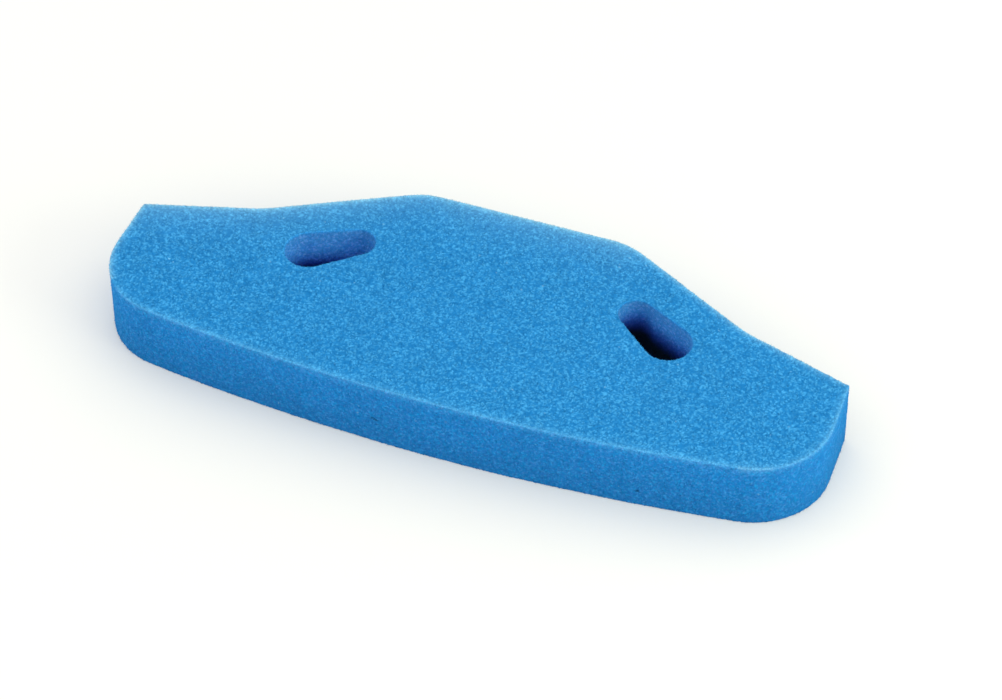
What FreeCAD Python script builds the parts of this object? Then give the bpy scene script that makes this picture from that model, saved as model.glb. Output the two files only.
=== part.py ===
"""Sponge filter: one wing-shaped slab of filter foam with two slanting through slots.

The slab lies on the XY plane with its middle at the origin. +X runs along its length, +Y points
from the bowed front edge to the short straight back edge, and +Z is up. The right half is drawn
and cut, and then mirrored about the YZ plane.
"""

import FreeCAD
import Part

import math
import os

import Sketcher

# Driving dimensions, in millimetres and degrees.
SIZES = [
    ("overall_length", 400, "longest extent, across the two rounded front corners"),
    ("overall_depth", 147, "back edge to the middle of the bowed front edge"),
    ("thickness", 40, "height of the foam sheet"),
    ("tip_span", 398, "distance between the two sharp rear tips"),
    ("tip_drop", 60.5, "how far the tips lie in front of the back edge"),
    ("back_edge_length", 96, "straight part of the back edge"),
    ("back_corner_radius", 42, "soft corner between the back edge and the steep flank"),
    ("steep_angle", 28.2, "slope of the flank next to the back edge"),
    ("shallow_angle", 16.6, "slope of the flank next to the tip"),
    ("shoulder_radius", 60, "hollow bend between the two flanks"),
    ("front_radius", 1150, "bow of the front edge"),
    ("front_corner_radius", 42, "corner between the front edge and the short end"),
    ("slot_inner_x", 79, "middle plane to the centre of the slot's narrow end"),
    ("slot_inner_y", 25.2, "slab's middle to the centre of the slot's narrow end"),
    ("slot_inner_radius", 10, "narrow end of the slot, towards the back edge"),
    ("slot_outer_radius", 13.5, "wide end of the slot, towards the rounded corner"),
    ("slot_spacing", 26.5, "distance between the centres of the slot's two ends"),
    ("slot_angle", 33.5, "slant of the slot, down from the back edge"),
]

START = 1
END = 2
CENTRE = 3
ORIGIN = (-1, 1)
Y_AXIS = -2


def make_sheet(doc):
    """Put every driving dimension in its own named cell."""
    sheet = doc.addObject("Spreadsheet::Sheet", "Sizes")
    for row, (name, value, note) in enumerate(SIZES, start=1):
        sheet.set(f"A{row}", name)
        sheet.set(f"B{row}", str(value))
        sheet.set(f"C{row}", note)
        sheet.setAlias(f"B{row}", name)
    return sheet


def origin_plane(body, role):
    """Return one of the body's own origin planes."""
    for feature in body.Origin.OriginFeatures:
        if feature.Role == role:
            return feature
    raise ValueError(f"{body.Name} has no {role}")


def new_sketch(body, name):
    """Make a sketch on the body's XY plane."""
    sketch = body.newObject("Sketcher::SketchObject", name)
    sketch.AttachmentSupport = [(origin_plane(body, "XY_Plane"), "")]
    sketch.MapMode = "FlatFace"
    return sketch


def polar(centre, radius, angle):
    """Return the point at an angle, in radians, on a circle."""
    return FreeCAD.Vector(centre.x + radius * math.cos(angle), centre.y + radius * math.sin(angle), 0)


def add_line(sketch, start, end, construction=False):
    """Add a straight edge and return its index."""
    return sketch.addGeometry(Part.LineSegment(start, end), construction)


def add_arc(sketch, centre, radius, start_angle, end_angle):
    """Add an arc that runs anticlockwise between two angles in radians, and return its index."""
    circle = Part.Circle(centre, FreeCAD.Vector(0, 0, 1), radius)
    return sketch.addGeometry(Part.ArcOfCircle(circle, start_angle, end_angle), False)


def relate(sketch, kind, *points):
    """Add a constraint that has no dimension."""
    sketch.addConstraint(Sketcher.Constraint(kind, *points))


def drive(sketch, kind, points, value, name, expression):
    """Add a named dimension that follows an expression on the sheet."""
    sketch.addConstraint(Sketcher.Constraint(kind, *points, value))
    index = sketch.ConstraintCount - 1
    sketch.renameConstraint(index, name)
    sketch.setExpression(f"Constraints.{name}", expression)


def outline_sketch(body, sheet):
    """Draw the right half of the outline, closed along the middle plane."""
    sketch = new_sketch(body, "half_outline")
    steep = math.radians(sheet.steep_angle)
    shallow = math.radians(sheet.shallow_angle)
    back_y = sheet.overall_depth / 2
    back_middle = FreeCAD.Vector(0, back_y, 0)
    front_middle = FreeCAD.Vector(0, -back_y, 0)
    back_end = FreeCAD.Vector(sheet.back_edge_length / 2, back_y, 0)
    tip = FreeCAD.Vector(sheet.tip_span / 2, back_y - sheet.tip_drop, 0)

    # The soft back corner is tangent to the back edge.
    back_centre = back_end - FreeCAD.Vector(0, sheet.back_corner_radius, 0)
    steep_start = polar(back_centre, sheet.back_corner_radius, math.pi / 2 - steep)

    # The flanks would meet in a point, which the hollow shoulder rounds off.
    steep_way = FreeCAD.Vector(math.cos(steep), -math.sin(steep), 0)
    shallow_way = FreeCAD.Vector(math.cos(shallow), -math.sin(shallow), 0)
    to_tip = tip - steep_start
    steep_run = to_tip.cross(shallow_way).z / steep_way.cross(shallow_way).z
    bend = steep_start + steep_way * steep_run
    setback = sheet.shoulder_radius * math.tan((steep - shallow) / 2)
    shoulder_start = bend - steep_way * setback
    shoulder_end = bend + shallow_way * setback
    outwards = FreeCAD.Vector(math.sin(steep), math.cos(steep), 0)
    shoulder_centre = shoulder_start + outwards * sheet.shoulder_radius

    # The front corner touches the overall length and lies inside the bowed front edge.
    bow_centre = FreeCAD.Vector(0, sheet.front_radius - back_y, 0)
    corner_x = sheet.overall_length / 2 - sheet.front_corner_radius
    reach = sheet.front_radius - sheet.front_corner_radius
    corner_centre = FreeCAD.Vector(corner_x, bow_centre.y - math.sqrt(reach**2 - corner_x**2), 0)
    bow_angle = math.atan2(corner_centre.y - bow_centre.y, corner_x)
    to_corner = tip - corner_centre
    end_angle = math.atan2(to_corner.y, to_corner.x)
    end_angle -= math.acos(sheet.front_corner_radius / to_corner.Length)
    end_start = polar(corner_centre, sheet.front_corner_radius, end_angle)

    back_edge = add_line(sketch, back_middle, back_end)
    back_corner = add_arc(
        sketch, back_centre, sheet.back_corner_radius, math.pi / 2 - steep, math.pi / 2
    )
    steep_flank = add_line(sketch, steep_start, shoulder_start)
    shoulder = add_arc(
        sketch, shoulder_centre, sheet.shoulder_radius, 1.5 * math.pi - steep, 1.5 * math.pi - shallow
    )
    shallow_flank = add_line(sketch, shoulder_end, tip)
    short_end = add_line(sketch, tip, end_start)
    front_corner = add_arc(
        sketch, corner_centre, sheet.front_corner_radius, bow_angle, end_angle
    )
    bow = add_arc(sketch, bow_centre, sheet.front_radius, -math.pi / 2, bow_angle)
    middle = add_line(sketch, front_middle, back_middle)

    relate(sketch, "Tangent", back_edge, END, back_corner, END)
    relate(sketch, "Tangent", back_corner, START, steep_flank, START)
    relate(sketch, "Tangent", steep_flank, END, shoulder, START)
    relate(sketch, "Tangent", shoulder, END, shallow_flank, START)
    relate(sketch, "Coincident", shallow_flank, END, short_end, START)
    relate(sketch, "Tangent", short_end, END, front_corner, END)
    relate(sketch, "Tangent", front_corner, START, bow, END)
    relate(sketch, "Coincident", bow, START, middle, START)
    relate(sketch, "Coincident", middle, END, back_edge, START)
    relate(sketch, "Horizontal", back_edge)
    relate(sketch, "PointOnObject", middle, START, Y_AXIS)
    relate(sketch, "PointOnObject", bow, CENTRE, Y_AXIS)
    relate(sketch, "Symmetric", middle, START, middle, END, *ORIGIN)

    drive(sketch, "DistanceY", (middle, START, middle, END), sheet.overall_depth,
          "depth", "Sizes.overall_depth")
    drive(sketch, "DistanceX", (back_edge, START, back_edge, END), sheet.back_edge_length / 2,
          "half_back_edge", "Sizes.back_edge_length / 2")
    drive(sketch, "Radius", (back_corner,), sheet.back_corner_radius,
          "back_corner", "Sizes.back_corner_radius")
    drive(sketch, "Angle", (steep_flank,), -steep,
          "steep_slope", "-Sizes.steep_angle * 1 deg")
    drive(sketch, "Radius", (shoulder,), sheet.shoulder_radius,
          "shoulder", "Sizes.shoulder_radius")
    drive(sketch, "Angle", (shallow_flank,), -shallow,
          "shallow_slope", "-Sizes.shallow_angle * 1 deg")
    drive(sketch, "DistanceX", (*ORIGIN, shallow_flank, END), tip.x,
          "half_tip_span", "Sizes.tip_span / 2")
    drive(sketch, "DistanceY", (shallow_flank, END, back_edge, END), sheet.tip_drop,
          "tip_drop", "Sizes.tip_drop")
    drive(sketch, "Radius", (front_corner,), sheet.front_corner_radius,
          "front_corner", "Sizes.front_corner_radius")
    drive(sketch, "DistanceX", (*ORIGIN, front_corner, CENTRE), corner_x,
          "corner_place", "Sizes.overall_length / 2 - Sizes.front_corner_radius")
    drive(sketch, "Radius", (bow,), sheet.front_radius,
          "front_bow", "Sizes.front_radius")
    return sketch


def slot_sketch(body, sheet):
    """Draw the right slot: a narrow and a wide round end joined by two tangent sides."""
    sketch = new_sketch(body, "slot_outline")
    slant = -math.radians(sheet.slot_angle)
    narrow = FreeCAD.Vector(sheet.slot_inner_x, sheet.slot_inner_y, 0)
    wide = polar(narrow, sheet.slot_spacing, slant)
    taper = math.asin((sheet.slot_outer_radius - sheet.slot_inner_radius) / sheet.slot_spacing)
    back_side = slant + math.pi / 2 + taper
    front_side = slant - math.pi / 2 - taper

    narrow_end = add_arc(
        sketch, narrow, sheet.slot_inner_radius, back_side, front_side + 2 * math.pi
    )
    wide_end = add_arc(sketch, wide, sheet.slot_outer_radius, front_side, back_side)
    back_wall = add_line(
        sketch,
        polar(wide, sheet.slot_outer_radius, back_side),
        polar(narrow, sheet.slot_inner_radius, back_side),
    )
    front_wall = add_line(
        sketch,
        polar(narrow, sheet.slot_inner_radius, front_side),
        polar(wide, sheet.slot_outer_radius, front_side),
    )
    centre_line = add_line(sketch, narrow, wide, construction=True)

    relate(sketch, "Tangent", wide_end, END, back_wall, START)
    relate(sketch, "Tangent", back_wall, END, narrow_end, START)
    relate(sketch, "Tangent", narrow_end, END, front_wall, START)
    relate(sketch, "Tangent", front_wall, END, wide_end, START)
    relate(sketch, "Coincident", centre_line, START, narrow_end, CENTRE)
    relate(sketch, "Coincident", centre_line, END, wide_end, CENTRE)

    drive(sketch, "DistanceX", (*ORIGIN, narrow_end, CENTRE), narrow.x,
          "inner_x", "Sizes.slot_inner_x")
    drive(sketch, "DistanceY", (*ORIGIN, narrow_end, CENTRE), narrow.y,
          "inner_y", "Sizes.slot_inner_y")
    drive(sketch, "Radius", (narrow_end,), sheet.slot_inner_radius,
          "inner_radius", "Sizes.slot_inner_radius")
    drive(sketch, "Radius", (wide_end,), sheet.slot_outer_radius,
          "outer_radius", "Sizes.slot_outer_radius")
    drive(sketch, "Distance", (centre_line,), sheet.slot_spacing,
          "spacing", "Sizes.slot_spacing")
    drive(sketch, "Angle", (centre_line,), slant,
          "slant", "-Sizes.slot_angle * 1 deg")
    return sketch


def make_foam(doc, sheet):
    """Build the slab: pad the half outline, cut its slot through, and mirror both."""
    body = doc.addObject("PartDesign::Body", "FilterFoam")
    body.Label = "filter_foam"
    body.Placement = FreeCAD.Placement()

    slab = body.newObject("PartDesign::Pad", "half_slab")
    slab.Profile = outline_sketch(body, sheet)
    slab.setExpression("Length", "Sizes.thickness")

    slot = body.newObject("PartDesign::Pocket", "slot")
    slot.Profile = slot_sketch(body, sheet)
    slot.Type = "ThroughAll"
    slot.Reversed = True

    whole = body.newObject("PartDesign::Mirrored", "both_halves")
    whole.Originals = [slab, slot]
    whole.MirrorPlane = (origin_plane(body, "YZ_Plane"), [""])
    whole.Refine = True
    body.Tip = whole
    return body


def check_document(doc, body):
    """Stop if anything failed to build or the slots were not cut right through."""
    for thing in doc.Objects:
        if "Invalid" in thing.State or "Error" in thing.State:
            raise RuntimeError(f"{thing.Name} failed: {thing.State}")
    for sketch in doc.findObjects("Sketcher::SketchObject"):
        if not sketch.FullyConstrained:
            raise RuntimeError(f"{sketch.Name} is not fully constrained")
    shape = body.Shape
    if shape.isNull() or not shape.isValid() or len(shape.Solids) != 1:
        raise RuntimeError(f"{body.Label} is not one valid solid")
    slab = doc.getObject("half_slab").Shape.Volume
    cut = slab - doc.getObject("slot").Shape.Volume
    slot_area = Part.Face(Part.Wire(Part.sortEdges(doc.getObject("slot_outline").Shape.Edges)[0])).Area
    if abs(cut - slot_area * doc.getObject("half_slab").Length.Value) > 1:
        raise RuntimeError("the slot does not run right through the slab")
    if abs(shape.Volume - 2 * (slab - cut)) > 1:
        raise RuntimeError("the mirrored half is missing")


def main():
    doc = FreeCAD.newDocument("SpongeFilter")
    sheet = make_sheet(doc)
    doc.recompute()
    body = make_foam(doc, sheet)
    doc.recompute()
    check_document(doc, body)

    box = body.Shape.BoundBox
    print(f"{body.Label}: {box.XLength:.2f} x {box.YLength:.2f} x {box.ZLength:.2f} mm")
    print(f"volume {body.Shape.Volume / 1000:.1f} cm3, {len(body.Shape.Faces)} faces")

    os.makedirs("parts", exist_ok=True)
    body.Shape.exportStep(f"parts/{body.Label}.step")


main()
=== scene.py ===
"""The looks of a sponge filter: a slab of blue open-cell foam with two slanting slots.

The slab's skin is a net of foam cells, about 1.4 mm apart, that closes round the CAD outline: every
cell is a small pit, and the struts between the pits are its ridges. All lengths are in metres.

The foam's colour goes by numbers kept at the points of the skin. Many of them are painted light and
shade: painted highlights along the rims, painted glows where light soaks into real foam, painted
glints, and painted shade on the walls and in the pits, slots and flaws. So they are fixed to the slab
but aren't the same on its left and right.
"""

import math

import bpy
import bmesh
import numpy as np
from mathutils import Matrix, Vector
from mathutils.geometry import delaunay_2d_cdt
from mathutils.kdtree import KDTree


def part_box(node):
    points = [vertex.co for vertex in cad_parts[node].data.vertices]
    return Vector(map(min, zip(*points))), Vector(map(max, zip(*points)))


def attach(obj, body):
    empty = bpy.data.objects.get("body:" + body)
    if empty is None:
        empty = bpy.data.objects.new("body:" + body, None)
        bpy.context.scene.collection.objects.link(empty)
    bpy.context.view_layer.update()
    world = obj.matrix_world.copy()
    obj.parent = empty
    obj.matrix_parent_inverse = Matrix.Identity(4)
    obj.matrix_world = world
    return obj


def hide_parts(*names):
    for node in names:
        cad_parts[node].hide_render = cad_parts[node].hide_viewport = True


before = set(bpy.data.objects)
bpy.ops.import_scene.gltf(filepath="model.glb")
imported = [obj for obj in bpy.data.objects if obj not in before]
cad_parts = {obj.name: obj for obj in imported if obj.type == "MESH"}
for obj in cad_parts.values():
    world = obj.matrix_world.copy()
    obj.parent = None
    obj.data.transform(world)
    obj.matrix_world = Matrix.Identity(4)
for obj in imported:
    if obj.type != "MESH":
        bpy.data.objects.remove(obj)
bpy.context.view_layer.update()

NODE = "filter_foam"
SEED = 20

# The net: the pitch of the cells along the rims, and as shares of it, the pitch of the places tried
# for the other cells, the least gaps between those, and their least gap from the rims.
CELL = 0.0012
CELL_TRIES = 0.6
CELL_GAPS = (0.62, 0.92)
EDGE_CLEAR = 0.62
SHARP_TURN = math.radians(30)
SLIVER = 1e-9
SAME_POINT = 1e-6
TRIANGLE_TOLERANCE = 1e-9
FACES_UP = 0.9

# The relief: pits go in, and the struts' nodes stand out, slide sideways and fray.
PIT_DEPTH = (0.00005, 0.00055)
STRUT_LIFT = (0.00010, 0.00028)
RIM_DEPTH = 0.25
STRUT_SLIDE = 0.00022
FRAY_SHARE = 0.04
FRAY_LIFT = 0.0003
RIM_FRAY = 0.0002
WAVINESS = 0.0002

# The cut ends of struts that stick out of the skin, with their shares of the faces.
STUB_RADIUS = 0.00009
STUB_LENGTH = (0.0003, 0.0010)
STUB_SPRAWL = 0.5
STUB_PLACE = (1, 2, 2)
RIM_STUBS = 0.9
FACE_STUBS = 0.033
FACES_DOWN = -0.5

# The foam's colours, and how they vary over the slab.
# The grain mixes these two at random. The paler strut blue is partly painted glints on the struts,
# and the deeper pore blue is partly painted shade in the pores.
PORE_BLUE = (0.0095, 0.198, 0.520, 1)
STRUT_BLUE = (0.0735, 0.442, 0.843, 1)
SHEEN_BLUE = (0.12, 0.75, 0.85, 1)
# Painted shade: the outer walls darker and more violet than the top, from how the light falls.
SIDE_SHADE = (0.72, 0.85, 0.975, 1)
# Painted shade: the slots' walls darker and violet below their mouths.
SLOT_SHADE_COLOUR = (2.0, 0.83, 0.82, 1)
# Painted shade: deeper in the slots, darker and more violet still.
DEEP_SHADE_TINT = (0.55, 0.35, 1.2, 1)
COOL_TINT = (0.15, 1.04, 1.0, 1)
WARM_TINT = (1.80, 0.96, 1.0, 1)
# The colour of the painted glow, pale fringes and glints.
GLOW_BLUE = (0.58, 1.0, 0.97, 1)
GRAIN = 0.0007
GRAIN_TONE = (0.90, 1.10)
GRAIN_ROUGHNESS = (0.80, 1.0)
MOTTLE = 0.020
MOTTLE_TONE = (0.95, 1.05)
NOISE_RANGE = (0.25, 0.75)
STRUT_TONE = 3.0
# Painted shade: how much darker the pits are than the struts' nodes.
PIT_SHADE = 0.9
SIDE_SLOPE = (-0.9, -0.3)
SIDE_TONE = 0.6
SIDE_PALE = 0.1
SLOT_HUE = 0.3
# Painted glints: a few bright points over the skin.
GLINT_SHARE = 0.0009
GLINT_GLOW = 0.28
# Painted highlight along the outer rims: its reach, strength and random spread.
RIM_HIGHLIGHT_REACH = 0.0021
RIM_HIGHLIGHT = 0.40
RIM_HIGHLIGHT_SPREAD = (0.4, 1.6)
# Painted glow: paler on the top near the edges that face the back left, where light soaks through.
GLOW_REACH = 0.010
GLOW_STRENGTH = 0.13
GLOW_SIDE = (-0.5, 0.87)
GLOW_FACING = 0.75
# The rims' pale fringes, painted light where light soaks through them: which way the rim faces,
# how nearly it must, the strength and the reach.
FRINGES = (
    ((-0.71, 0.71), 0.1, 0.32, 0.0012),
    ((0.93, -0.37), 0.5, 0.10, 0.0014),
    ((-0.10, -0.99), 0.8, 0.06, 0.0014),
)
# The slots, with painted light and shade: depths over which the painted shade darkens them and turns
# them violet, and how brightly they are painted lit, darker at the narrow ends and lighter in the
# left slot.
SLOT_DARK = (0.010, 0.030)
SLOT_VIOLET = (0.010, 0.028)
SLOT_MOUTH = (-0.001, 0.003)
SLOT_FOOT = (-0.002, 0.005)
SLOT_GAIN = (1.35, 2.0)
SLOT_GAIN_DEPTH = 0.012
SLOT_DEEP_SHADE = 0.03
SLOT_SHADE = 0.08
SLOT_SHADE_DEPTH = 0.005
SLOT_LIT_DEPTH = 0.004
SLOT_LIT = (0.018, 0.026)
SLOT_NARROW = (0.078, 0.088)
# Painted shade: the outer walls darker towards the floor.
SIDE_LOW_SHADE = 0.18
SIDE_LOW_SHADE_DEPTH = (0.004, 0.045)

# Two flaws in the front wall: where each starts, how far it runs, its half width and its depth.
FLAWS = (
    ((-0.0318, -0.0731, 0.0170), (0.0024, 0.0, -0.0009), 0.0004, 0.0010),
    ((0.1120, -0.0680, 0.0101), (0.0003, 0.0, 0.0), 0.0005, 0.0010),
)
# Painted shade inside the flaws.
FLAW_SHADE = 0.30

# The studio. A light is a name, its place from the slab's middle, its size, its power and its colour.
AMBIENT = 1.09
LIGHTS = (
    ("right", (1.2, -0.25, 0.5), 0.7, 5.7, (1.0, 1.0, 0.80)),
    ("left", (-2.2, -0.3, 0.9), 1.2, 6, (1.0, 1.0, 1.0)),
)
FLOOR_COLOUR = (0.860, 0.865, 0.830, 1)
FLOOR_REACH = 6.0

# The camera, which aims beside the slab's middle by these shares of its length and depth.
AIM_ASIDE = (0.0191, 0.0842)
AZIMUTH = math.radians(20.72)
ELEVATION = math.radians(45.18)
ROLL = math.radians(-0.35)
CAMERA_RANGE = 1.9225
LENS = 129.0
SENSOR = 36.0


# The outline ---------------------------------------------------------------------------------


def cad_loops(node):
    """The loops round the CAD slab's top face: the outer one anticlockwise, the slots clockwise.

    Each starts at its leftmost point and they come from left to right, so the outer one is first,
    whatever order the CAD mesh is in.
    """
    bm = bmesh.new()
    bm.from_mesh(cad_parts[node].data)
    bmesh.ops.remove_doubles(bm, verts=bm.verts, dist=SAME_POINT)
    bm.normal_update()
    top = [f for f in bm.faces if f.normal.z > FACES_UP]
    following = {}
    for face in top:
        for loop in face.loops:
            beside = [f for f in loop.edge.link_faces if f is not face]
            if not beside or beside[0] not in top:
                following[loop.vert] = loop.link_loop_next.vert
    loops = []
    while following:
        vert = next(iter(following))
        ring = []
        while vert in following:
            ring.append((vert.co.x, vert.co.y))
            vert = following.pop(vert)
        start = ring.index(min(ring))
        loops.append(ring[start:] + ring[:start])
    bm.free()
    return [np.array(ring) for ring in sorted(loops)]


def even_loop(ring, pitch):
    """The same closed loop with points about one pitch apart, which keeps its sharp corners."""
    ahead = np.roll(ring, -1, 0) - ring
    behind = np.roll(ahead, 1, 0)
    turn = np.arctan2(
        behind[:, 0] * ahead[:, 1] - behind[:, 1] * ahead[:, 0], (behind * ahead).sum(1)
    )
    corners = np.flatnonzero(np.abs(turn) > SHARP_TURN)
    if len(corners):
        ring = np.roll(ring, -corners[0], 0)
        corners = corners - corners[0]
    else:
        corners = np.array([0])
    closed = np.vstack([ring, ring[:1]])
    travelled = np.concatenate([[0], np.cumsum(np.hypot(*np.diff(closed, axis=0).T))])
    stops = np.append(travelled[corners], travelled[-1])
    places = []
    for start, stop in zip(stops[:-1], stops[1:]):
        steps = max(3, round((stop - start) / pitch))
        places.append(np.linspace(start, stop, steps, endpoint=False))
    places = np.concatenate(places)
    return np.stack([np.interp(places, travelled, closed[:, k]) for k in (0, 1)], 1)


# The net of cells ----------------------------------------------------------------------------


def scatter(low, high, rng):
    """The middles of loose cells over a rectangle: no two are much nearer than one cell."""
    fine = CELL * CELL_TRIES
    grid = np.stack(np.meshgrid(
        np.arange(low[0], high[0] + fine, fine), np.arange(low[1], high[1] + fine, fine)
    ), -1)
    points = grid.reshape(-1, 2) + rng.uniform(-0.5, 0.5, (grid.size // 2, 2)) * fine
    tree = near_tree(points)
    gaps = CELL * rng.uniform(*CELL_GAPS, len(points))
    waiting = np.ones(len(points), bool)
    chosen = []
    for at in rng.permutation(len(points)):
        if waiting[at]:
            chosen.append(at)
            for _, near, _ in tree.find_range((*points[at], 0), gaps[at]):
                waiting[near] = False
    return points[chosen]


def near_tree(points):
    """A search tree of flat points, kept at height 0."""
    tree = KDTree(len(points))
    for at, point in enumerate(points):
        tree.insert((*point, 0), at)
    tree.balance()
    return tree


def inside(points, loops):
    """Whether each point is inside an odd number of the loops."""
    found = np.zeros(len(points), bool)
    for ring in loops:
        for a, b in zip(ring, np.roll(ring, -1, 0)):
            crosses = (a[1] > points[:, 1]) != (b[1] > points[:, 1])
            if a[1] != b[1]:
                at = a[0] + (points[:, 1] - a[1]) * (b[0] - a[0]) / (b[1] - a[1])
                found ^= crosses & (points[:, 0] < at)
    return found


def gap_to(points, ring):
    """Each point's distance from the nearest point of a ring, and which one that is."""
    tree = near_tree(ring)
    found = [tree.find((*point, 0)) for point in points]
    return np.array([f[2] for f in found]), np.array([f[1] for f in found])


def triangulate(points, edges=()):
    """Anticlockwise Delaunay triangles of flat points, which keep the edges given."""
    flat = [Vector(p) for p in points]
    found = delaunay_2d_cdt(flat, list(edges), [], 0, TRIANGLE_TOLERANCE, False)
    if len(found[0]) != len(points):
        raise RuntimeError("two cells fell on the same point")
    triangles = np.array(found[2])
    a, b, c = (points[triangles[:, k]] for k in range(3))
    flipped = np.cross(b - a, c - a) < 0
    triangles[flipped] = triangles[flipped][:, ::-1]
    return triangles


def cap(loops, rng):
    """Flat cells that fill the outline: the points, which start with the loops', and triangles."""
    border = np.vstack(loops)
    fill = scatter(border.min(0), border.max(0), rng)
    fill = fill[inside(fill, loops)]
    fill = fill[gap_to(fill, border)[0] > CELL * EDGE_CLEAR]
    edges = []
    first = 0
    for ring in loops:
        count = len(ring)
        edges += [(first + k, first + (k + 1) % count) for k in range(count)]
        first += count
    points = np.vstack([border, fill])
    triangles = triangulate(points, edges)
    doubtful = (triangles < len(border)).all(1)
    a, b, c = (points[triangles[doubtful, k]] for k in range(3))
    kept = ~doubtful
    kept[doubtful] = inside((a + b + c) / 3, loops) & (np.cross(b - a, c - a) > SLIVER)
    return points, triangles[kept]


def wall(ring, height, rng):
    """Cells of the wall along a loop, unrolled: (distance along, height), and their triangles.

    The order of the points is the bottom edge, the top edge, the seam up the start, the same seam
    again at the end, and then the cells between.
    """
    closed = np.vstack([ring, ring[:1]])
    along = np.concatenate([[0], np.cumsum(np.hypot(*np.diff(closed, axis=0).T))])
    length = along[-1]
    rises = np.linspace(0, height, round(height / CELL) + 1)[1:-1]
    bottom = np.stack([along, np.zeros_like(along)], 1)
    top = np.stack([along, np.full_like(along, height)], 1)
    start = np.stack([np.zeros_like(rises), rises], 1)
    end = start + [length, 0]
    fill = scatter((0, 0), (length, height), rng)
    gap = CELL * EDGE_CLEAR
    fill = fill[((fill > gap) & (fill < np.array([length, height]) - gap)).all(1)]
    points = np.vstack([bottom, top, start, end, fill])
    return points, triangulate(points), along, closed


def closed_net(loops, low, high, rng):
    """One closed skin of triangles round the slab, whose corners are the middles of the cells.

    The third result says which of the corners lie on the slab's rims.
    """
    border = sum(len(ring) for ring in loops)
    below, below_faces = cap(loops, rng)
    above, above_faces = cap(loops, rng)
    points = [
        np.column_stack([below, np.full(len(below), low)]),
        np.column_stack([above, np.full(len(above), high)]),
    ]
    faces = [below_faces[:, ::-1], above_faces + len(below)]
    count = len(below) + len(above)
    first = 0
    for ring in loops:
        flat, triangles, along, closed = wall(ring, high - low, rng)
        turn = np.arange(len(ring) + 1) % len(ring) + first
        seam = round((high - low) / CELL) - 1
        made = len(flat) - 2 * len(turn) - seam
        new = np.arange(made) + count
        index = np.concatenate([turn, turn + len(below), new[:seam], new[:seam], new[seam:]])
        kept = np.concatenate([flat[2 * len(turn):][:seam], flat[2 * len(turn) + 2 * seam:]])
        place = [np.interp(kept[:, 0], along, closed[:, k]) for k in (0, 1)]
        points.append(np.column_stack([*place, kept[:, 1] + low]))
        faces.append(index[triangles])
        count += len(kept)
        first += len(ring)
    rims = np.concatenate([np.arange(border), np.arange(border) + len(below)])
    return np.vstack(points), np.vstack(faces), rims


def normals_of(points, faces):
    """Unit normals of the faces, and of the points as the mean of the faces round them."""
    a, b, c = (points[faces[:, k]] for k in range(3))
    area = np.cross(b - a, c - a)
    at_points = np.zeros_like(points)
    for k in range(3):
        np.add.at(at_points, faces[:, k], area)
    flat = area / np.linalg.norm(area, axis=1)[:, None]
    return flat, at_points / np.linalg.norm(at_points, axis=1)[:, None]


def ease(values, start, end):
    """0 before start, 1 after end, and a smooth step between."""
    t = np.clip((values - start) / (end - start), 0, 1)
    return t * t * (3 - 2 * t)


def flaws(points):
    """How much of a flaw each point is in, from 0 to 1, and how deep the flaw is there."""
    share = np.zeros(len(points))
    depth = np.zeros(len(points))
    for start, run, width, cut in FLAWS:
        offset = points - start
        along = np.clip(offset @ run / np.dot(run, run), 0, 1)
        gap = np.linalg.norm(offset - along[:, None] * run, axis=1)
        near = 1 - ease(gap, width, 2 * width)
        share = np.maximum(share, near)
        depth = np.maximum(depth, near * cut)
    return share, depth


def wave(points):
    """Swells in and out, 50 to 210 mm long, that keep the faces from being perfectly flat."""
    x, y, z = points.T * 2 * math.pi
    return (
        np.sin(x / 0.137 + 1.1 + 0.8 * np.sin(y / 0.071))
        + np.sin(y / 0.083 + 2.3 + 0.9 * np.sin(x / 0.059))
        + np.sin(z / 0.052 + x / 0.211 + 0.4)
    ) / 3


def stub_faces(normals, faces, rims, rng):
    """The faces that carry the cut end of a strut: most along the rims, and a few elsewhere."""
    chance = np.full(len(faces), FACE_STUBS)
    chance[np.isin(faces[:, 0], rims)] = RIM_STUBS
    chance[normals[faces].mean(1)[:, 2] < FACES_DOWN] = 0
    return np.flatnonzero(rng.random(len(faces)) < chance)


def add_stubs(points, normals, faces, chosen, rng):
    """Raise a thin spike out of each chosen face. The skin stays one closed surface."""
    count = len(chosen)
    corners = points[faces[chosen]]
    base = (corners * rng.dirichlet(STUB_PLACE, count)[:, :, None]).sum(1)
    spokes = corners - base[:, None]
    width = STUB_RADIUS / np.linalg.norm(spokes, axis=2).mean(1)
    ring = base[:, None] + spokes * width[:, None, None]
    straight = normals[faces[chosen]].mean(1)
    aims = straight + rng.normal(0, STUB_SPRAWL, (count, 3))
    aims[:, 2] = np.maximum(aims[:, 2], 0)
    aims /= np.linalg.norm(aims, axis=1)[:, None]
    tips = base + aims * rng.uniform(*STUB_LENGTH, count)[:, None]

    a, b, c = faces[chosen].T
    i, j, k, tip = len(points) + np.arange(4 * count).reshape(count, 4).T
    made = [
        (a, b, j), (a, j, i), (b, c, k), (b, k, j), (c, a, i), (c, i, k),
        (i, j, tip), (j, k, tip), (k, i, tip),
    ]
    return (
        np.vstack([points, np.concatenate([ring, tips[:, None]], 1).reshape(-1, 3)]),
        np.vstack([normals, np.repeat(straight, 4, 0)]),
        np.vstack([np.delete(faces, chosen, 0), *(np.stack(face, 1) for face in made)]),
    )


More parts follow.
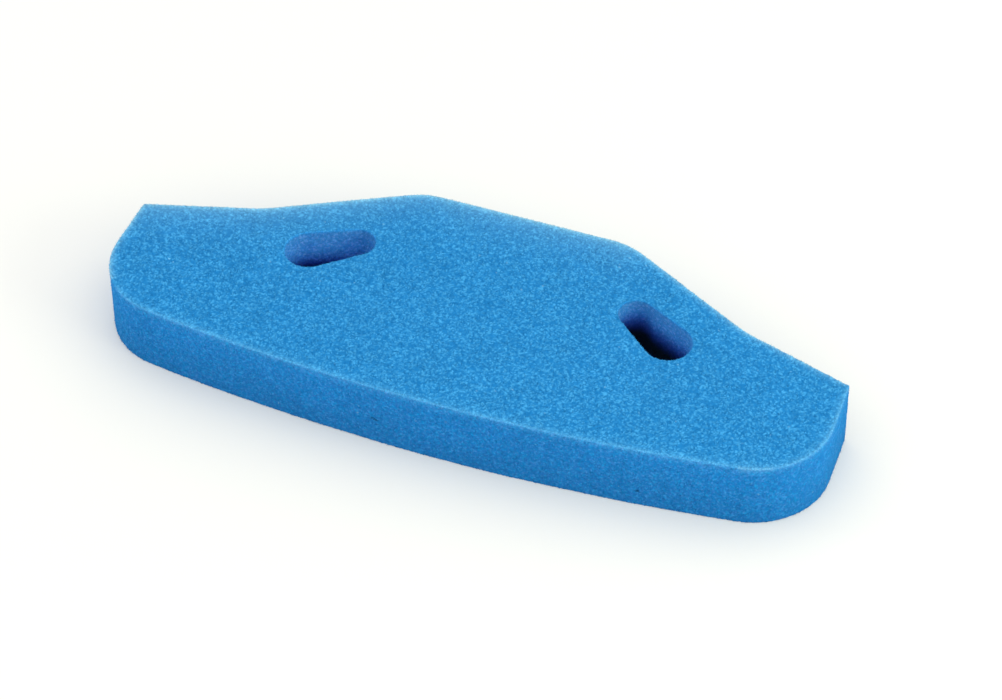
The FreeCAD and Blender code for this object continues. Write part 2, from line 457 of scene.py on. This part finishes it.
def open_cells(points, faces, rims, rng):
    """Turn each point of the net into a pit and each triangle into a node of the struts.

    Gives the new points, which start with the pits, their outward directions, the triangles
    between them, and the number of pits.
    """
    flat, round_it = normals_of(points, faces)
    points = points + round_it * (wave(points) * WAVINESS)[:, None]
    depth = rng.uniform(*PIT_DEPTH, len(points))
    depth[rims] *= RIM_DEPTH
    depth += flaws(points)[1]
    pits = points - round_it * depth[:, None]
    lift = rng.uniform(*STRUT_LIFT, len(faces))
    frayed = rng.random(len(faces)) < FRAY_SHARE
    lift[frayed] += FRAY_LIFT * rng.random(frayed.sum())
    on_rim = np.isin(faces, rims).any(1)
    lift[on_rim] += RIM_FRAY * rng.random(on_rim.sum()) ** 2
    slide = rng.normal(0, STRUT_SLIDE / 2, (len(faces), 3))
    slide -= flat * (slide * flat).sum(1)[:, None]
    nodes = points[faces].mean(1) + flat * lift[:, None] + slide

    edges = np.concatenate([faces[:, [0, 1]], faces[:, [1, 2]], faces[:, [2, 0]]])
    owner = np.tile(np.arange(len(faces)), 3)
    key = edges.min(1) * len(points) + edges.max(1)
    order = np.argsort(key, kind="stable")
    one, other = order[0::2], order[1::2]
    if len(order) % 2 or (key[one] != key[other]).any():
        raise RuntimeError("the net of cells is not closed")
    left = owner[one] + len(points)
    right = owner[other] + len(points)
    start, end = edges[one].T
    cells = np.concatenate(
        [np.column_stack([start, right, left]), np.column_stack([end, left, right])]
    )
    return np.vstack([pits, nodes]), np.vstack([round_it, flat]), cells, len(points)


# What the foam's colour goes by ----------------------------------------------------------------


def ring_normals(ring):
    """Outward directions at the points of a ring that runs anticlockwise round the solid."""
    along = np.roll(ring, -1, 0) - np.roll(ring, 1, 0)
    outward = np.stack([along[:, 1], -along[:, 0]], 1)
    return outward / np.linalg.norm(outward, axis=1)[:, None]


def foam_fields(points, normals, pits, loops, low, high, rng):
    """Per-point numbers that the foam's material reads: grain, hue, and painted light and shade."""
    border = np.vstack(loops)
    gap, nearest = gap_to(points[:, :2], border)
    on_side = ease(-np.abs(normals[:, 2]), *SIDE_SLOPE)
    outer = nearest < len(loops[0])
    below_top = high - points[:, 2]
    above_floor = points[:, 2] - low

    pale = rng.random(len(points)) ** STRUT_TONE
    # Painted shade: the pits a little darker.
    pale[:pits] *= PIT_SHADE
    pale = pale * (1 - on_side * (1 - SIDE_TONE)) + on_side * SIDE_TONE * SIDE_PALE

    # Painted highlight: paler along the outer rims, on the top and down the walls.
    from_rim = gap * (1 - on_side) + below_top
    highlight_spread = rng.uniform(*RIM_HIGHLIGHT_SPREAD, len(points))
    pale += outer * RIM_HIGHLIGHT * highlight_spread * np.exp(-from_rim / RIM_HIGHLIGHT_REACH)
    # Painted glow near the edges that face the back left, and painted light in pale fringes on some
    # rims.
    facing = ring_normals(loops[0])
    lit_edge = loops[0][facing @ GLOW_SIDE > GLOW_FACING]
    from_edge = gap_to(points[:, :2], lit_edge)[0] + below_top
    painted_glow = GLOW_STRENGTH * (1 - on_side) * np.exp(-from_edge / GLOW_REACH)
    for side, least, strength, reach in FRINGES:
        faces_it = outer * (facing @ side > least)[np.where(outer, nearest, 0)]
        painted_glow += strength * highlight_spread * faces_it * np.exp(-from_rim / reach)
    # Painted glints.
    glints = rng.random(len(points)) < GLINT_SHARE
    painted_glow[glints] += GLINT_GLOW * rng.random(glints.sum())

    # Painted light and shade in the slots: brighter near the mouth, darker deep down, darker at the
    # narrow ends, most in the right slot, and lighter in the left slot.
    in_slot = on_side * ~outer
    shaded = 1 - ease(np.abs(points[:, 0]), *SLOT_NARROW)
    shift = np.where(
        points[:, 0] > 0,
        SLOT_SHADE_DEPTH * shaded,
        -SLOT_LIT_DEPTH * (1 - ease(below_top, *SLOT_LIT)),
    )
    down = below_top + shift
    deep = ease(down, *SLOT_DARK) * ease(above_floor, *SLOT_FOOT)
    lit = np.interp(below_top, (0, SLOT_GAIN_DEPTH), SLOT_GAIN) * (1 - SLOT_SHADE * shaded)
    painted_light_and_shade = 1 + in_slot * (lit * (1 - deep) + SLOT_DEEP_SHADE * deep - 1)
    # Painted shade: the outer walls darker towards the floor.
    painted_light_and_shade -= on_side * outer * SIDE_LOW_SHADE * ease(below_top, *SIDE_LOW_SHADE_DEPTH)
    # Painted shade inside the flaws.
    painted_light_and_shade *= 1 - (1 - FLAW_SHADE) * flaws(points)[0]
    return {
        "pale": pale,
        # Painted shade on the outer walls.
        "side": on_side * outer,
        # Painted shade: the slots darker and violet, more so with depth.
        "slot": in_slot * ease(below_top, *SLOT_MOUTH),
        "deep": in_slot * ease(down, *SLOT_VIOLET),
        "warm": 0.5 + on_side * np.where(outer, 1.0, SLOT_HUE) * (rng.random(len(points)) - 0.5),
        # Painted glow, fringes and glints.
        "painted_glow": painted_glow,
        # Painted light and shade: the slots, the lower outer walls and the flaws.
        "painted_light_and_shade": painted_light_and_shade,
    }


def build_mesh(name, points, faces, fields):
    """A mesh from arrays, with one float attribute per field."""
    mesh = bpy.data.meshes.new(name)
    mesh.vertices.add(len(points))
    mesh.vertices.foreach_set("co", points.astype(np.float32).ravel())
    mesh.loops.add(faces.size)
    mesh.loops.foreach_set("vertex_index", faces.astype(np.int32).ravel())
    mesh.polygons.add(len(faces))
    mesh.polygons.foreach_set("loop_start", np.arange(0, faces.size, 3, dtype=np.int32))
    mesh.update(calc_edges=True)
    for field, values in fields.items():
        attribute = mesh.attributes.new(field, "FLOAT", "POINT")
        attribute.data.foreach_set("value", values.astype(np.float32))
    mesh.validate()
    return mesh


# Materials -----------------------------------------------------------------------------------


def node(tree, kind, **settings):
    """Add a shader node and set its properties."""
    made = tree.nodes.new(kind)
    for name, value in settings.items():
        setattr(made, name, value)
    return made


def attribute(tree, name):
    """The output of a mesh attribute."""
    return node(tree, "ShaderNodeAttribute", attribute_name=name).outputs["Fac"]


def blend(tree, factor, first, second, kind="MIX"):
    """The output of a colour mix. Each colour is an output or a plain colour."""
    mix = node(tree, "ShaderNodeMix", data_type="RGBA", blend_type=kind)
    for name, value in (("Factor", factor), ("A", first), ("B", second)):
        sockets = [k for k in mix.inputs if k.name == name and k.enabled]
        if isinstance(value, bpy.types.NodeSocket):
            tree.links.new(value, sockets[0])
        else:
            sockets[0].default_value = value
    return next(k for k in mix.outputs if k.enabled)


def noise(tree, size, detail):
    """The output of a noise whose lumps are about a size across, fixed to the slab."""
    place = node(tree, "ShaderNodeTexCoord")
    made = node(tree, "ShaderNodeTexNoise")
    made.inputs["Scale"].default_value = 1 / size
    made.inputs["Detail"].default_value = detail
    tree.links.new(place.outputs["Object"], made.inputs["Vector"])
    return made.outputs["Fac"]


def spread(tree, value, limits):
    """A noise's value spread between two limits."""
    made = node(tree, "ShaderNodeMapRange")
    ends = ("From Min", "From Max", "To Min", "To Max")
    for name, limit in zip(ends, (*NOISE_RANGE, *limits)):
        made.inputs[name].default_value = limit
    tree.links.new(value, made.inputs["Value"])
    return made.outputs["Result"]


def foam_material():
    """Matte blue foam: pale strut nodes over deep blue pores, with painted highlights at the rims of
    the slab, painted glows and glints, and painted shade on the walls and in the slots and flaws.
    """
    material = bpy.data.materials.new("blue_foam")
    material.use_nodes = True
    tree = material.node_tree
    shader = tree.nodes["Principled BSDF"]
    shader.inputs["Specular IOR Level"].default_value = 0.1
    shader.inputs["Sheen Weight"].default_value = 0.06
    shader.inputs["Sheen Roughness"].default_value = 0.6
    shader.inputs["Sheen Tint"].default_value = SHEEN_BLUE

    colour = blend(tree, attribute(tree, "pale"), PORE_BLUE, STRUT_BLUE)
    # Painted shade on the outer walls.
    colour = blend(tree, attribute(tree, "side"), colour, SIDE_SHADE, "MULTIPLY")
    # Painted shade in the slots, darker and more violet with depth.
    colour = blend(tree, attribute(tree, "slot"), colour, SLOT_SHADE_COLOUR, "MULTIPLY")
    colour = blend(tree, attribute(tree, "deep"), colour, DEEP_SHADE_TINT, "MULTIPLY")
    hue = blend(tree, attribute(tree, "warm"), COOL_TINT, WARM_TINT)
    colour = blend(tree, 1.0, colour, hue, "MULTIPLY")
    # Painted glow, fringes and glints.
    colour = blend(tree, attribute(tree, "painted_glow"), colour, GLOW_BLUE)
    # Painted light and shade from the slots, the lower outer walls and the flaws.
    scaled = node(tree, "ShaderNodeVectorMath", operation="SCALE")
    tree.links.new(colour, scaled.inputs[0])
    tree.links.new(attribute(tree, "painted_light_and_shade"), scaled.inputs["Scale"])
    grain = noise(tree, GRAIN, 2.0)
    mottle = noise(tree, MOTTLE, 3.0)
    colour = blend(tree, 1.0, scaled.outputs[0], spread(tree, grain, GRAIN_TONE), "MULTIPLY")
    colour = blend(tree, 1.0, colour, spread(tree, mottle, MOTTLE_TONE), "MULTIPLY")
    tree.links.new(colour, shader.inputs["Base Color"])
    tree.links.new(spread(tree, grain, GRAIN_ROUGHNESS), shader.inputs["Roughness"])

    bump = node(tree, "ShaderNodeBump")
    bump.inputs["Strength"].default_value = 0.5
    bump.inputs["Distance"].default_value = GRAIN / 2
    tree.links.new(grain, bump.inputs["Height"])
    tree.links.new(bump.outputs["Normal"], shader.inputs["Normal"])
    return material


def floor_material():
    """A matte near-white sheet."""
    material = bpy.data.materials.new("floor")
    material.use_nodes = True
    shader = material.node_tree.nodes["Principled BSDF"]
    shader.inputs["Base Color"].default_value = FLOOR_COLOUR
    shader.inputs["Roughness"].default_value = 0.9
    shader.inputs["Specular IOR Level"].default_value = 0.2
    return material


# The piece -----------------------------------------------------------------------------------


def make_foam():
    """The foam slab, in the place of the CAD node."""
    rng = np.random.default_rng(SEED)
    low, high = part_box(NODE)
    loops = [even_loop(ring, CELL) for ring in cad_loops(NODE)]
    points, faces, rims = closed_net(loops, low.z, high.z, rng)
    points, normals, faces, pits = open_cells(points, faces, rims, rng)
    chosen = stub_faces(normals, faces, rims, rng)
    points, normals, faces = add_stubs(points, normals, faces, chosen, rng)
    points[:, 2] = np.maximum(points[:, 2], low.z)
    fields = foam_fields(points, normals, pits, loops, low.z, high.z, rng)
    mesh = build_mesh("foam_slab", points, faces, fields)
    mesh.materials.append(foam_material())
    foam = bpy.data.objects.new("foam_slab", mesh)
    bpy.context.scene.collection.objects.link(foam)
    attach(foam, "root")
    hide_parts(NODE)
    return foam


# The studio ----------------------------------------------------------------------------------


def make_floor(level):
    """A wide plain floor at the level the slab rests on."""
    mesh = bpy.data.meshes.new("floor")
    turns = ((-1, -1), (1, -1), (1, 1), (-1, 1))
    corners = [(x * FLOOR_REACH, y * FLOOR_REACH, level) for x, y in turns]
    mesh.from_pydata(corners, [], [(0, 1, 2, 3)])
    mesh.materials.append(floor_material())
    floor = bpy.data.objects.new("floor", mesh)
    bpy.context.scene.collection.objects.link(floor)
    return floor


def make_light(name, place, aim, size, power, colour):
    """A square soft light that points at a place."""
    data = bpy.data.lights.new(name, "AREA")
    data.shape = "SQUARE"
    data.size = size
    data.energy = power
    data.color = colour
    light = bpy.data.objects.new(name, data)
    light.location = place
    light.rotation_euler = (Vector(aim) - Vector(place)).to_track_quat("-Z", "Y").to_euler()
    bpy.context.scene.collection.objects.link(light)
    return light


def make_world():
    """Even white light from all round, and a background as bright as the far floor."""
    world = bpy.data.worlds.new("studio")
    world.use_nodes = True
    tree = world.node_tree
    ambient = tree.nodes["Background"]
    ambient.inputs["Color"].default_value = (1, 1, 1, 1)
    ambient.inputs["Strength"].default_value = AMBIENT
    seen = node(tree, "ShaderNodeBackground")
    seen.inputs["Color"].default_value = FLOOR_COLOUR
    seen.inputs["Strength"].default_value = AMBIENT
    path = node(tree, "ShaderNodeLightPath")
    mix = node(tree, "ShaderNodeMixShader")
    tree.links.new(path.outputs["Is Camera Ray"], mix.inputs[0])
    tree.links.new(ambient.outputs[0], mix.inputs[1])
    tree.links.new(seen.outputs[0], mix.inputs[2])
    tree.links.new(mix.outputs[0], tree.nodes["World Output"].inputs["Surface"])
    bpy.context.scene.world = world


def make_camera(aim):
    """A long lens that looks down on the slab from the front right."""
    back = Vector((
        math.sin(AZIMUTH) * math.cos(ELEVATION),
        -math.cos(AZIMUTH) * math.cos(ELEVATION),
        math.sin(ELEVATION),
    ))
    data = bpy.data.cameras.new("camera")
    data.lens = LENS
    data.sensor_width = SENSOR
    camera = bpy.data.objects.new("camera", data)
    turn = (-back).to_track_quat("-Z", "Y").to_matrix().to_4x4()
    camera.matrix_world = (
        Matrix.Translation(aim + back * CAMERA_RANGE) @ turn @ Matrix.Rotation(ROLL, 4, "Z")
    )
    bpy.context.scene.collection.objects.link(camera)
    bpy.context.scene.camera = camera


def make_studio(low, high):
    """The floor, the lights and the camera, placed from the slab's box."""
    make_floor(low.z)
    make_world()
    middle = (low + high) / 2
    for name, place, size, power, colour in LIGHTS:
        make_light(name, middle + Vector(place), middle, size, power, colour)
    span = high - low
    across, back = AIM_ASIDE
    make_camera(Vector((middle.x + span.x * across, middle.y + span.y * back, low.z)))
    bpy.context.scene.view_settings.view_transform = "Standard"


make_foam()
make_studio(*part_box(NODE))
